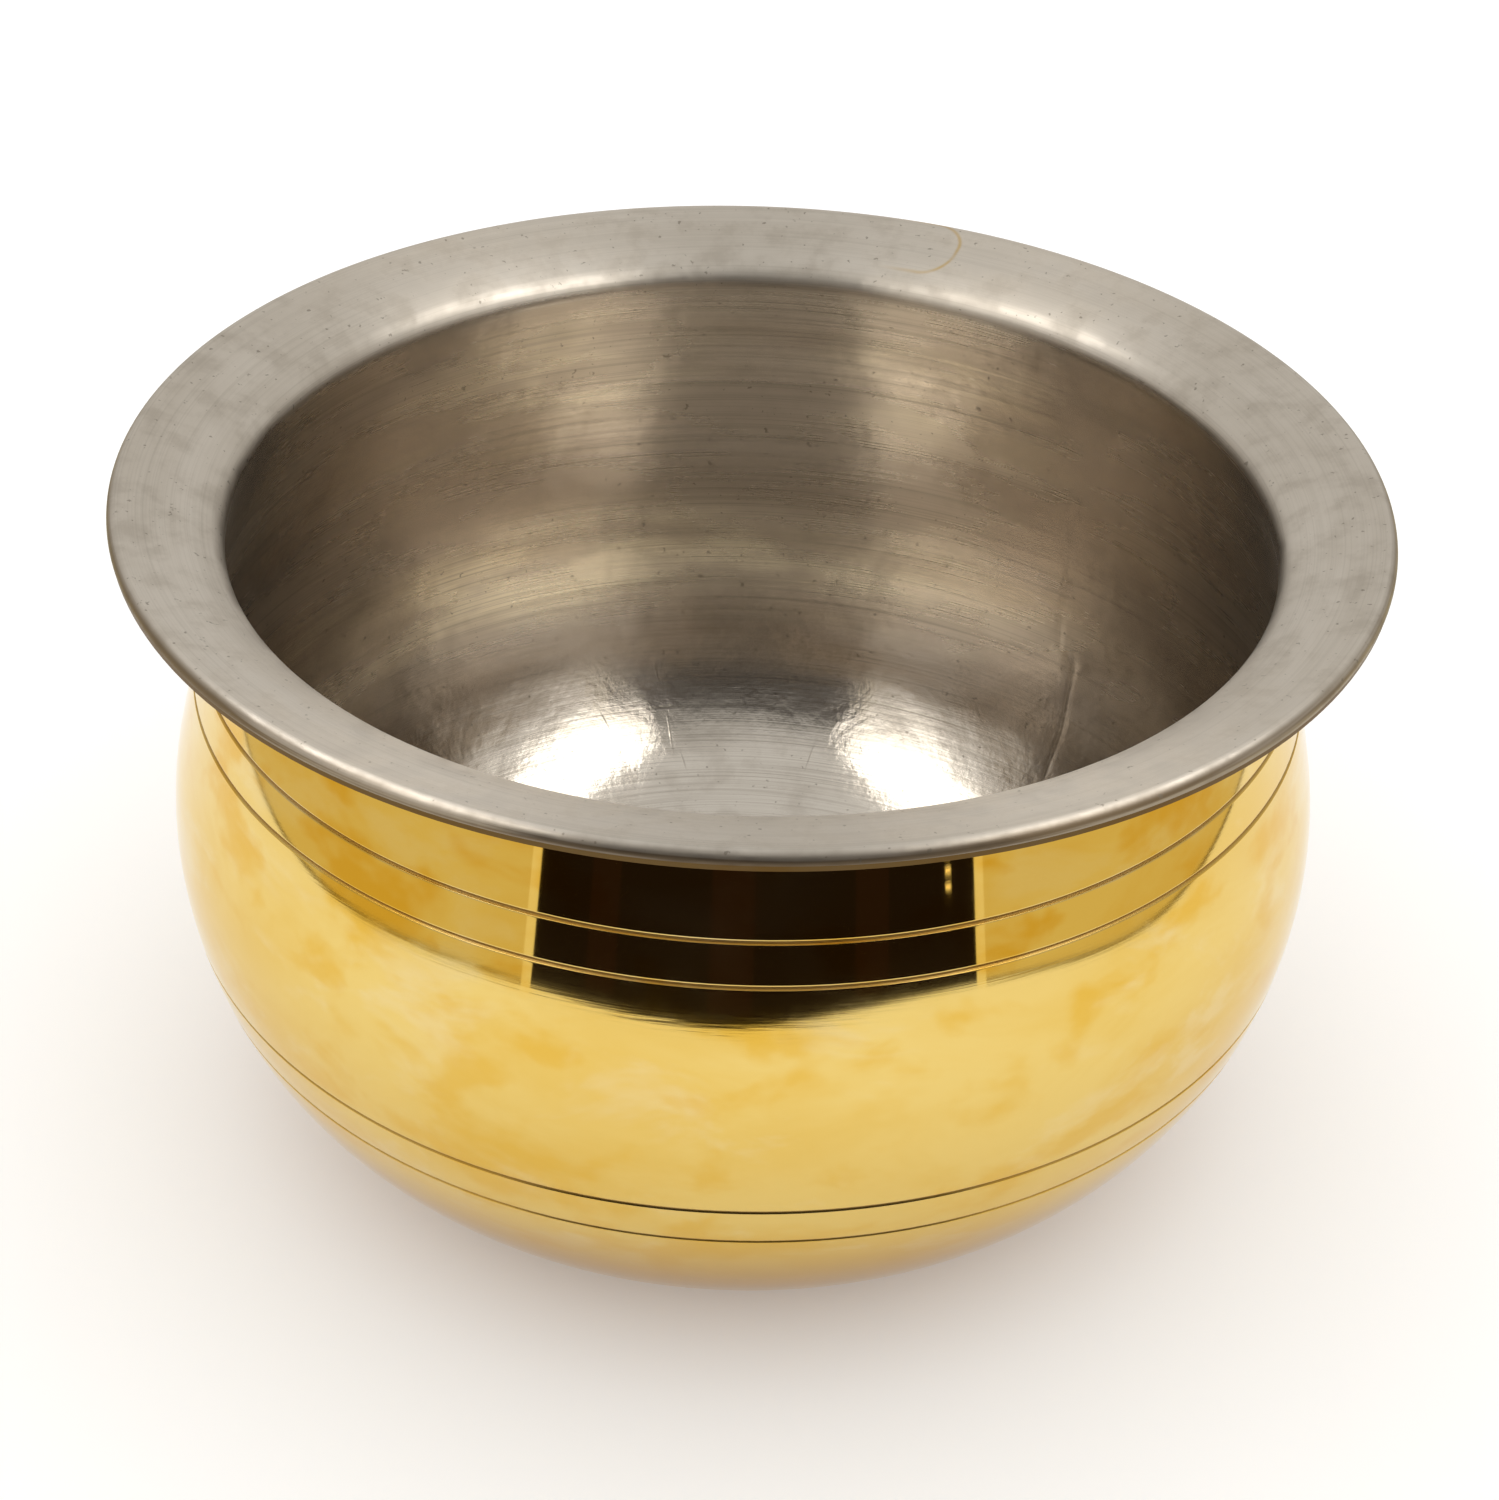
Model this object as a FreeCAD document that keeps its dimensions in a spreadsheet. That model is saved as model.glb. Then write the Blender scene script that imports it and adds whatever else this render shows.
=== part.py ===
import FreeCAD, Part

import math
import os

import Sketcher
from FreeCAD import Placement, Rotation, Vector

# Wide-mouthed brass cooking pot, tinned inside.
# Frame: +Z up along the axis the pot is spun about, origin at the centre of its flat base,
# +Y towards the side where the wall seam and the rim patch lie.
# The wall is one sheet wrapped round and brazed along a toothed seam; the bottom is a dished
# pan whose square fingers are brazed into the lower edge of the wall.

DIMENSIONS = {
    # whole pot
    "rim_diameter": 200.0,
    "total_height": 113.6,
    "brass_gauge": 1.0,
    "tin_gauge": 0.2,
    # flared rim
    "lip_roll": 1.6,
    "lip_drop": 1.2,
    "tin_lap": 0.2,
    "flange_slope": 13.0,
    "flare_arc": 25.0,
    "throat_radius": 82.5,
    "throat_height": 105.4,
    "throat_roll": 4.6,
    # neck, shoulder and belly
    "neck_tilt": 11.9,
    "shoulder_arc": 120.0,
    "belly_diameter": 185.3,
    "belly_height": 56.5,
    "belly_arc": 62.5,
    "corner_arc": 43.0,
    # turned decoration
    "groove_radius": 0.35,
    "neck_groove_upper": 89.2,
    "neck_groove_lower": 82.3,
    "belly_groove_upper": 42.9,
    "belly_groove_lower": 35.3,
    # brazed joints
    "braze_gap": 0.5,
    "seam_azimuth": 40.2,
    "seam_tooth_offset": 4.4,
    "seam_tooth_pitch": 20.0,
    "finger_root_radius": 70.0,
    "finger_tip_radius": 81.0,
    "finger_rise": 40.0,
    "finger_count": 14,
    "finger_azimuth": 49.2,
    # patch let into the rim
    "patch_azimuth": 15.3,
    "patch_radius": 92.5,
    "patch_length": 19.6,
    "patch_width": 12.0,
    "patch_corner": 5.2,
    "patch_depth": 8.0,
}

doc = FreeCAD.newDocument("brass_pot")
sheet = doc.addObject("Spreadsheet::Sheet", "sizes")
for row, (alias, value) in enumerate(DIMENSIONS.items(), start=1):
    sheet.set(f"A{row}", alias)
    sheet.set(f"B{row}", str(value))
    sheet.setAlias(f"B{row}", alias)
doc.recompute()


def size(alias):
    """The number held in the sheet under this alias."""
    return float(sheet.get(alias))


def origin_plane(body, role):
    """One of the body's own origin planes."""
    return next(f for f in body.Origin.OriginFeatures if f.Role == role)


def new_sketch(body, name, role="XZ_Plane"):
    """An empty sketch on an origin plane; on XZ_Plane sketch x is radius and sketch y is height."""
    sketch = body.newObject("Sketcher::SketchObject", name)
    sketch.AttachmentSupport = [(origin_plane(body, role), "")]
    sketch.MapMode = "FlatFace"
    return sketch


def constrain(sketch, kind, *where):
    return sketch.addConstraint(Sketcher.Constraint(kind, *where))


def dimension(sketch, kind, where, value, expression):
    """A driving dimension bound to the sheet."""
    index = sketch.addConstraint(Sketcher.Constraint(kind, *where, value))
    sketch.setExpression(f"Constraints[{index}]", expression)


def add_line(sketch, start, end):
    return sketch.addGeometry(Part.LineSegment(Vector(*start, 0), Vector(*end, 0)))


def add_arc(sketch, centre, radius, start, end):
    """Counter-clockwise arc between two angles in radians."""
    circle = Part.Circle(Vector(*centre, 0), Vector(0, 0, 1), radius)
    return sketch.addGeometry(Part.ArcOfCircle(circle, start, end))


# ---------------------------------------------------------------- bowl outline

def bowl_layout():
    """Centres of the arcs of the outer brass face, found from the sheet.

    The face runs: flat base, corner arc, belly arc, hollow shoulder arc, straight neck,
    throat arc, wider flare arc, straight flange, lip roll."""
    slope = math.radians(size("flange_slope"))
    tilt = math.radians(size("neck_tilt"))
    sheet_gauge = size("brass_gauge") + size("tin_gauge")
    lip = (size("rim_diameter") / 2 - size("lip_roll"), size("total_height") - size("lip_roll"))
    throat_arc = size("throat_roll") - sheet_gauge
    lip_arc = size("lip_roll") - sheet_gauge
    throat = (size("throat_radius") + size("throat_roll"), size("throat_height"))
    belly_x = size("belly_diameter") / 2 - size("belly_arc")
    belly = (belly_x, size("belly_height"))
    corner_z = size("corner_arc")
    corner_x = belly_x + math.sqrt((size("belly_arc") - corner_z) ** 2 - (belly[1] - corner_z) ** 2)
    # the flare arc touches the flange line from below and holds the throat arc inside it
    flange_up = Vector(-math.sin(slope), math.cos(slope), 0)
    flange_out = Vector(math.cos(slope), math.sin(slope), 0)
    flare_arc = size("flare_arc") - sheet_gauge
    below_lip = Vector(*lip, 0) + flange_up * (lip_arc - flare_arc)
    from_throat = below_lip - Vector(*throat, 0)
    sideways = from_throat.dot(flange_out)
    gap_squared = from_throat.dot(from_throat) - (flare_arc - throat_arc) ** 2
    flare = below_lip + flange_out * (math.sqrt(sideways ** 2 - gap_squared) - sideways)
    # the shoulder arc touches the neck line and the belly arc, like a fillet
    inward = Vector(-math.cos(tilt), -math.sin(tilt), 0)
    down = Vector(math.sin(tilt), -math.cos(tilt), 0)
    neck_head = Vector(*throat, 0) + inward * throat_arc
    offset = neck_head - inward * size("shoulder_arc") - Vector(*belly, 0)
    along = offset.dot(down)
    reach = size("shoulder_arc") + size("belly_arc")
    travel = -along - math.sqrt(along ** 2 - offset.dot(offset) + reach ** 2)
    shoulder = neck_head + down * travel - inward * size("shoulder_arc")
    return {
        "lip": lip,
        "flare": (flare.x, flare.y),
        "throat": throat,
        "belly": belly,
        "corner": (corner_x, corner_z),
        "shoulder": (shoulder.x, shoulder.y),
        "shoulder_angle": math.atan2(shoulder.y - belly[1], shoulder.x - belly[0]),
        "corner_angle": math.atan2(corner_z - belly[1], corner_x - belly_x),
        "flare_angle": math.atan2(throat[1] - flare.y, throat[0] - flare.x),
        "slope": slope,
        "tilt": tilt,
    }


def on_arc(centre, radius, angle):
    return (centre[0] + radius * math.cos(angle), centre[1] + radius * math.sin(angle))


def bowl_outline(sketch, depth, depth_text, edge_drop, edge_text):
    """The bowl's face at a depth below its outer brass face, from the axis to the lip's edge.

    Returns the first line, on the axis, and the last line, whose end is the lip's edge."""
    lay = bowl_layout()
    gauge = size("brass_gauge") + size("tin_gauge")
    throat_r = size("throat_roll") - gauge + depth
    flare_r = size("flare_arc") - gauge + depth
    lip_r = size("lip_roll") - gauge + depth
    shoulder_r = size("shoulder_arc") + depth
    belly_r = size("belly_arc") - depth
    corner_r = size("corner_arc") - depth
    neck_angle = math.pi + lay["tilt"]
    flange_angle = math.pi / 2 + lay["slope"]
    joint_angle = math.pi + lay["shoulder_angle"]

    base = add_line(sketch, (0, depth), (lay["corner"][0], depth))
    corner = add_arc(sketch, lay["corner"], corner_r, -math.pi / 2, lay["corner_angle"])
    belly = add_arc(sketch, lay["belly"], belly_r, lay["corner_angle"], lay["shoulder_angle"])
    shoulder = add_arc(sketch, lay["shoulder"], shoulder_r, neck_angle, joint_angle)
    neck = add_line(sketch, on_arc(lay["shoulder"], shoulder_r, neck_angle),
                    on_arc(lay["throat"], throat_r, neck_angle))
    throat = add_arc(sketch, lay["throat"], throat_r, lay["flare_angle"], neck_angle)
    flare = add_arc(sketch, lay["flare"], flare_r, flange_angle, lay["flare_angle"])
    flange = add_line(sketch, on_arc(lay["flare"], flare_r, flange_angle),
                      on_arc(lay["lip"], lip_r, flange_angle))
    lip = add_arc(sketch, lay["lip"], lip_r, 0, flange_angle)
    edge_x = lay["lip"][0] + lip_r
    edge = add_line(sketch, (edge_x, lay["lip"][1]), (edge_x, lay["lip"][1] - edge_drop))

    start, end, centre = 1, 2, 3
    constrain(sketch, "Tangent", base, end, corner, start)
    constrain(sketch, "Tangent", corner, end, belly, start)
    constrain(sketch, "Tangent", belly, end, shoulder, end)
    constrain(sketch, "Tangent", shoulder, start, neck, start)
    constrain(sketch, "Tangent", neck, end, throat, end)
    constrain(sketch, "Tangent", throat, start, flare, end)
    constrain(sketch, "Tangent", flare, start, flange, start)
    constrain(sketch, "Tangent", flange, end, lip, end)
    constrain(sketch, "Tangent", lip, start, edge, start)
    constrain(sketch, "Horizontal", base)
    constrain(sketch, "Vertical", edge)
    constrain(sketch, "PointOnObject", base, start, -2)
    if depth:
        dimension(sketch, "DistanceY", (-1, 1, base, start), depth, depth_text)
    else:
        constrain(sketch, "PointOnObject", base, start, -1)
    both = "(sizes.brass_gauge + sizes.tin_gauge)"
    dimension(sketch, "Radius", (corner,), corner_r, f"sizes.corner_arc - {depth_text}")
    dimension(sketch, "Radius", (belly,), belly_r, f"sizes.belly_arc - {depth_text}")
    dimension(sketch, "Radius", (shoulder,), shoulder_r, f"sizes.shoulder_arc + {depth_text}")
    dimension(sketch, "Radius", (throat,), throat_r, f"sizes.throat_roll - {both} + {depth_text}")
    dimension(sketch, "Radius", (flare,), flare_r, f"sizes.flare_arc - {both} + {depth_text}")
    dimension(sketch, "Radius", (lip,), lip_r, f"sizes.lip_roll - {both} + {depth_text}")
    dimension(sketch, "DistanceX", (-1, 1, belly, centre), lay["belly"][0],
              "sizes.belly_diameter / 2 - sizes.belly_arc")
    dimension(sketch, "DistanceY", (-1, 1, belly, centre), lay["belly"][1], "sizes.belly_height")
    dimension(sketch, "DistanceX", (-1, 1, throat, centre), lay["throat"][0],
              "sizes.throat_radius + sizes.throat_roll")
    dimension(sketch, "DistanceY", (-1, 1, throat, centre), lay["throat"][1], "sizes.throat_height")
    dimension(sketch, "DistanceX", (-1, 1, lip, centre), lay["lip"][0],
              "sizes.rim_diameter / 2 - sizes.lip_roll")
    dimension(sketch, "DistanceY", (-1, 1, lip, centre), lay["lip"][1],
              "sizes.total_height - sizes.lip_roll")
    dimension(sketch, "DistanceY", (edge, end, edge, start), edge_drop, edge_text)
    dimension(sketch, "Angle", (-1, flange), lay["slope"], "sizes.flange_slope * 1deg")
    dimension(sketch, "Angle", (-2, neck), lay["tilt"], "sizes.neck_tilt * 1deg")
    return {"base": base, "belly": belly, "neck": neck, "edge": edge}


def join(sketch, first, first_point, second, second_point):
    """A straight closing line between two points that are already fixed."""
    ends = [sketch.getPoint(first, first_point), sketch.getPoint(second, second_point)]
    line = add_line(sketch, (ends[0].x, ends[0].y), (ends[1].x, ends[1].y))
    constrain(sketch, "Coincident", line, 1, first, first_point)
    constrain(sketch, "Coincident", line, 2, second, second_point)


def revolve(body, sketch, name, kind="PartDesign::Revolution"):
    """A full turn about the pot's axis; a PartDesign::Groove cuts instead."""
    feature = body.newObject(kind, name)
    feature.Profile = sketch
    feature.ReferenceAxis = (sketch, ["V_Axis"])
    feature.Angle = 360
    doc.recompute()
    return feature


def pad(body, sketch, name, length_text):
    feature = body.newObject("PartDesign::Pad", name)
    feature.Profile = sketch
    feature.setExpression("Length", length_text)
    doc.recompute()
    return feature


def spun_layer(name, inner, outer, edge):
    """A skin of even thickness between two depths of the bowl, each given as (value, expression)."""
    body = doc.addObject("PartDesign::Body", name)
    body.Label = name
    sketch = new_sketch(body, f"{name}_section")
    face = bowl_outline(sketch, *outer, *edge)
    back = bowl_outline(sketch, *inner, *edge)
    start, end = 1, 2
    join(sketch, face["base"], start, back["base"], start)
    join(sketch, face["edge"], end, back["edge"], end)
    revolve(body, sketch, f"{name}_spun")
    return body


# ---------------------------------------------------------------- brass bowl before it is parted

def turned_grooves(body):
    """Two grooves on the neck and two on the lower belly, half round in section."""
    sketch = new_sketch(body, "groove_sections")
    guide = bowl_outline(sketch, 0.0, "0", size("lip_drop"), "sizes.lip_drop")
    for line in range(sketch.GeometryCount):
        sketch.toggleConstruction(line)
    centre = 3
    for alias, track in (("neck_groove_upper", "neck"), ("neck_groove_lower", "neck"),
                         ("belly_groove_upper", "belly"), ("belly_groove_lower", "belly")):
        height = size(alias)
        place = Vector(outer_radius(height), height, 0)
        circle = sketch.addGeometry(Part.Circle(place, Vector(0, 0, 1), size("groove_radius")))
        constrain(sketch, "PointOnObject", circle, centre, guide[track])
        dimension(sketch, "DistanceY", (-1, 1, circle, centre), height, f"sizes.{alias}")
        dimension(sketch, "Radius", (circle,), size("groove_radius"), "sizes.groove_radius")
    revolve(body, sketch, "grooves", "PartDesign::Groove")


def outer_radius(height):
    """Radius of the outer face at a height on the straight neck or on the belly arc."""
    lay = bowl_layout()
    neck_foot = on_arc(lay["shoulder"], size("shoulder_arc"), math.pi + lay["tilt"])
    if height > neck_foot[1]:
        return neck_foot[0] - (height - neck_foot[1]) * math.tan(lay["tilt"])
    return lay["belly"][0] + math.sqrt(size("belly_arc") ** 2 - (height - lay["belly"][1]) ** 2)


def brass_bowl():
    outer = (0.0, "0")
    inner = (size("brass_gauge"), "sizes.brass_gauge")
    body = spun_layer("bowl_blank", inner, outer, (size("lip_drop"), "sizes.lip_drop"))
    turned_grooves(body)
    return body


# ---------------------------------------------------------------- cutters for the brazed joints

def turned_to(thing, azimuth_alias):
    """Swings a piece drawn at the back (+Y) clockwise, seen from above, to its azimuth."""
    thing.Placement = Placement(Vector(), Rotation(Vector(0, 0, -1), size(azimuth_alias)))
    thing.setExpression("Placement.Rotation.Angle", f"sizes.{azimuth_alias} * 1deg")


def fingered_disc(name, grow, grow_text):
    """A disc with square fingers round it, one of them just past the foot of the seam."""
    body = doc.addObject("PartDesign::Body", name)
    disc = new_sketch(body, f"{name}_disc", "XY_Plane")
    root = size("finger_root_radius") + grow
    circle = disc.addGeometry(Part.Circle(Vector(), Vector(0, 0, 1), root))
    constrain(disc, "Coincident", circle, 3, -1, 1)
    dimension(disc, "Radius", (circle,), root, f"sizes.finger_root_radius + {grow_text}")
    pad(body, disc, f"{name}_core", "sizes.finger_rise")

    finger = new_sketch(body, f"{name}_finger", "XY_Plane")
    tip = size("finger_tip_radius") + grow
    half = math.pi / size("finger_count") / 2 + grow / size("finger_tip_radius")
    middle = math.pi / 2
    tip_arc = add_arc(finger, (0, 0), tip, middle - half, middle + half)
    right = add_line(finger, (0, 0), on_arc((0, 0), tip, middle - half))
    left = add_line(finger, (0, 0), on_arc((0, 0), tip, middle + half))
    constrain(finger, "Coincident", tip_arc, 3, -1, 1)
    constrain(finger, "Coincident", right, 1, -1, 1)
    constrain(finger, "Coincident", left, 1, -1, 1)
    constrain(finger, "Coincident", right, 2, tip_arc, 1)
    constrain(finger, "Coincident", left, 2, tip_arc, 2)
    dimension(finger, "Radius", (tip_arc,), tip, f"sizes.finger_tip_radius + {grow_text}")
    half_text = f"(90 / sizes.finger_count + {grow_text} / sizes.finger_tip_radius * 180 / pi) * 1deg"
    dimension(finger, "Angle", (right, -2), half, half_text)
    dimension(finger, "Angle", (-2, left), half, half_text)
    blade = pad(body, finger, f"{name}_blade", "sizes.finger_rise")

    ring = body.newObject("PartDesign::PolarPattern", f"{name}_ring")
    ring.Originals = [blade]
    ring.Axis = (origin_plane(body, "Z_Axis"), [""])
    ring.Angle = 360
    ring.setExpression("Occurrences", "sizes.finger_count")
    body.Tip = ring
    doc.recompute()
    turned_to(body, "finger_azimuth")
    return body


def seam_band():
    """The stepped slit between the two ends of the wall sheet: upright runs joined by short steps."""
    runs = math.ceil(size("total_height") / size("seam_tooth_pitch"))
    reach = {"Width": "sizes.rim_diameter / 2", "Placement.Base.y": "sizes.rim_diameter / 4"}
    pieces = []
    for index in range(runs):
        side = "-" if index % 2 == 0 else ""
        upright = {
            "Length": "sizes.braze_gap",
            "Height": "sizes.seam_tooth_pitch + sizes.braze_gap",
            "Placement.Base.x": f"{side}sizes.seam_tooth_offset / 2 - sizes.braze_gap / 2",
            "Placement.Base.z": f"{index} * sizes.seam_tooth_pitch",
        }
        step = {
            "Length": "sizes.seam_tooth_offset + sizes.braze_gap",
            "Height": "sizes.braze_gap",
            "Placement.Base.x": "-sizes.seam_tooth_offset / 2 - sizes.braze_gap / 2",
            "Placement.Base.z": f"{index} * sizes.seam_tooth_pitch",
        }
        for name, bindings in ((f"seam_run_{index}", upright), (f"seam_step_{index}", step)):
            box = doc.addObject("Part::Box", name)
            for path, text in {**reach, **bindings}.items():
                box.setExpression(path, text)
            pieces.append(box)
    band = doc.addObject("Part::MultiFuse", "seam_band")
    band.Shapes = pieces
    doc.recompute()
    turned_to(band, "seam_azimuth")
    return band


def patch_blade(name, grow, grow_text):
    """A plate with round corners that reaches down through the flange only."""
    body = doc.addObject("PartDesign::Body", name)
    sketch = new_sketch(body, f"{name}_outline", "XY_Plane")
    sketch.setExpression("AttachmentOffset.Base.z", "sizes.total_height - sizes.patch_depth")
    half_x = size("patch_length") / 2 + grow
    half_y = size("patch_width") / 2 + grow
    corner = size("patch_corner") + grow
    mid_y = size("patch_radius")
    quarter = math.pi / 2
    arcs = []
    for turn, (side_x, side_y) in enumerate(((1, 1), (-1, 1), (-1, -1), (1, -1))):
        centre = (side_x * (half_x - corner), mid_y + side_y * (half_y - corner))
        arcs.append(add_arc(sketch, centre, corner, turn * quarter, (turn + 1) * quarter))
    sides = []
    for turn in range(4):
        ends = sketch.getPoint(arcs[turn], 2), sketch.getPoint(arcs[(turn + 1) % 4], 1)
        side = add_line(sketch, (ends[0].x, ends[0].y), (ends[1].x, ends[1].y))
        constrain(sketch, "Tangent", arcs[turn], 2, side, 1)
        constrain(sketch, "Tangent", side, 2, arcs[(turn + 1) % 4], 1)
        sides.append(side)
    top, left, bottom, right = sides
    constrain(sketch, "Horizontal", top)
    constrain(sketch, "Horizontal", bottom)
    constrain(sketch, "Vertical", left)
    constrain(sketch, "Vertical", right)
    constrain(sketch, "Equal", arcs[0], arcs[1])
    constrain(sketch, "Equal", arcs[1], arcs[2])
    constrain(sketch, "Equal", arcs[2], arcs[3])
    dimension(sketch, "Radius", (arcs[0],), corner, f"sizes.patch_corner + {grow_text}")
    dimension(sketch, "DistanceX", (-1, 1, right, 1), half_x, f"sizes.patch_length / 2 + {grow_text}")
    dimension(sketch, "DistanceX", (left, 1, -1, 1), half_x, f"sizes.patch_length / 2 + {grow_text}")
    dimension(sketch, "DistanceY", (-1, 1, top, 1), mid_y + half_y,
              f"sizes.patch_radius + sizes.patch_width / 2 + {grow_text}")
    dimension(sketch, "DistanceY", (-1, 1, bottom, 1), mid_y - half_y,
              f"sizes.patch_radius - sizes.patch_width / 2 - {grow_text}")
    pad(body, sketch, f"{name}_pad", "sizes.patch_depth * 2")
    turned_to(body, "patch_azimuth")
    return body


# ---------------------------------------------------------------- parted pieces

def boolean(kind, name, base, tool):
    thing = doc.addObject(kind, name)
    thing.Label = name
    thing.Base = base
    thing.Tool = tool
    doc.recompute()
    return thing


def cut(name, base, tool):
    return boolean("Part::Cut", name, base, tool)


def common(name, base, tool):
    return boolean("Part::Common", name, base, tool)


def build():
    """Every piece of the pot, in the order it is made."""
    gap = (size("braze_gap"), "sizes.braze_gap")
    bowl = brass_bowl()
    fingers = fingered_disc("finger_blade", 0.0, "0")
    finger_bed = fingered_disc("finger_bed_blade", *gap)
    band = seam_band()
    patch = patch_blade("patch_blade", 0.0, "0")
    patch_bed = patch_blade("patch_bed_blade", *gap)

    base_pan = common("base_pan", bowl, fingers)
    base_seam_braze = cut("base_seam_braze", common("pan_in_bed", bowl, finger_bed), fingers)

    wall_ring = cut("wall_ring", bowl, finger_bed)
    wall_seam_braze = common("wall_seam_braze", wall_ring, band)
    wall_sheet = cut("wall_sheet", cut("wall_parted", wall_ring, band), patch_bed)

    rim_patch = common("rim_patch", bowl, patch)
    rim_patch_braze = cut("rim_patch_braze", common("patch_in_bed", bowl, patch_bed), patch)

    tin_depth = size("brass_gauge") + size("tin_gauge")
    tin_lining = spun_layer("tin_lining", (tin_depth, "(sizes.brass_gauge + sizes.tin_gauge)"),
                            (size("brass_gauge"), "sizes.brass_gauge"), (size("tin_lap"), "sizes.tin_lap"))
    return [wall_sheet, base_pan, wall_seam_braze, base_seam_braze, rim_patch, rim_patch_braze, tin_lining]


def check_document():
    for thing in doc.Objects:
        if "Invalid" in thing.State or "Error" in thing.State:
            raise RuntimeError(f"{thing.Name} did not rebuild: {thing.State}")


def check_piece(piece):
    shape = piece.Shape
    if shape.isNull() or not shape.isValid() or len(shape.Solids) != 1:
        raise RuntimeError(f"{piece.Label} is not one valid solid")
    box = shape.BoundBox
    print(f"{piece.Label:18s} volume {shape.Volume:10.1f} mm3  z {box.ZMin:7.2f} to {box.ZMax:7.2f}"
          f"  width {box.XLength:7.2f} x {box.YLength:7.2f}")


pieces = build()
doc.recompute()
check_document()
os.makedirs("parts", exist_ok=True)
for piece in pieces:
    check_piece(piece)
    piece.Shape.exportStep(f"parts/{piece.Label}.step")
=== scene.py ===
import math

import bpy
import numpy as np
from mathutils import Matrix, Vector


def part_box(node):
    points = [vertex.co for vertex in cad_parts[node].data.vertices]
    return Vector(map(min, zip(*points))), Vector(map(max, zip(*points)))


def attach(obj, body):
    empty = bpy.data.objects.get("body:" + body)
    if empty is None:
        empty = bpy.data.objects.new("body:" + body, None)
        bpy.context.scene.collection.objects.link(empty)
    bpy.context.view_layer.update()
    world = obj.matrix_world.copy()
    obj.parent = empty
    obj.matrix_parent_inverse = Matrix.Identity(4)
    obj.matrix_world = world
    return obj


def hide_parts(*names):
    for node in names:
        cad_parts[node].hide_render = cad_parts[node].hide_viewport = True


# Wide-mouthed brass pot, tinned inside, standing in a white light tent whose front is open.
# Metres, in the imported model's frame: +Z up from the centre of the flat base, +Y towards the
# side of the pot with the wall seam and the rim patch. An azimuth is clockwise seen from above,
# from +Y towards +X, in degrees.

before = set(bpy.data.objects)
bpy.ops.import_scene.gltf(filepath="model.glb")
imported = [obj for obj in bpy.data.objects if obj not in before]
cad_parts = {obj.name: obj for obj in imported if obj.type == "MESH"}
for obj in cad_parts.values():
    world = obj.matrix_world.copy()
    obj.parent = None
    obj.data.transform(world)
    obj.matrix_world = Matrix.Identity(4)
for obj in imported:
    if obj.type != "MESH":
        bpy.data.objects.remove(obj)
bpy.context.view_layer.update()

MM = 0.001

# ---------------------------------------------------------------- sizes

RIM_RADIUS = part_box("tin_lining")[1].x
TOTAL_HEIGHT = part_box("tin_lining")[1].z
BRASS_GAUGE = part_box("tin_lining")[0].z
TIN_GAUGE = 0.2 * MM
WALL = BRASS_GAUGE + TIN_GAUGE
LIP_ROLL = 1.6 * MM
LIP_DROP = 1.2 * MM
TIN_LAP = 0.2 * MM
FLANGE_SLOPE = math.radians(13.0)
FLARE_ARC = 25.0 * MM
UPPER_NECK = 96.0 * MM
THROAT_RADIUS = 82.5 * MM
THROAT_HEIGHT = 105.4 * MM
THROAT_ROLL = 4.6 * MM
BELLY_RADIUS = 92.65 * MM
BELLY_HEIGHT = 56.5 * MM
BELLY_ARC = 62.5 * MM
CORNER_ARC = 43.0 * MM

GROOVE_HEIGHTS = [89.2 * MM, 82.3 * MM, 42.9 * MM, 35.3 * MM]
GROOVE_HALF_WIDTH = 0.45 * MM
GROOVE_DEPTH = 0.32 * MM

BRAZE_GAP = 0.5 * MM
SEAM_AZIMUTH = 40.2
SEAM_HALF_OFFSET = 2.2 * MM
SEAM_RADIUS = 90.0 * MM
SEAM_TOOTH_PITCH = 20.0 * MM
SEAM_TOOTH_COUNT = 6
FINGER_ROOT_RADIUS = 70.0 * MM
FINGER_TIP_RADIUS = 81.0 * MM
FINGER_COUNT = 14
FINGER_PITCH = 360.0 / FINGER_COUNT
FINGER_AZIMUTH = 49.2
FINGER_HALF_ANGLE = FINGER_PITCH / 4
FINGER_GAP_ANGLE = 0.37

PATCH_AZIMUTH = 15.3
PATCH_RADIUS = 92.5 * MM
PATCH_HALF_LENGTH = 9.8 * MM
PATCH_HALF_WIDTH = 6.0 * MM
PATCH_CORNER = 5.2 * MM

# ---------------------------------------------------------------- section of the wall

SAMPLES = 2000


def unit(angle):
    return np.array([math.cos(angle), math.sin(angle)])


def arc(centre, radius, start, end, side):
    """An arc of the outer face, and its normals towards the inside of the pot."""
    angle = np.linspace(start, end, SAMPLES)
    ray = np.stack([np.cos(angle), np.sin(angle)], axis=1)
    return centre + radius * ray, side * ray


def straight(start, end, normal):
    step = np.linspace(0.0, 1.0, SAMPLES)[:, None]
    return start + (end - start) * step, np.tile(normal, (SAMPLES, 1))


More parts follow.
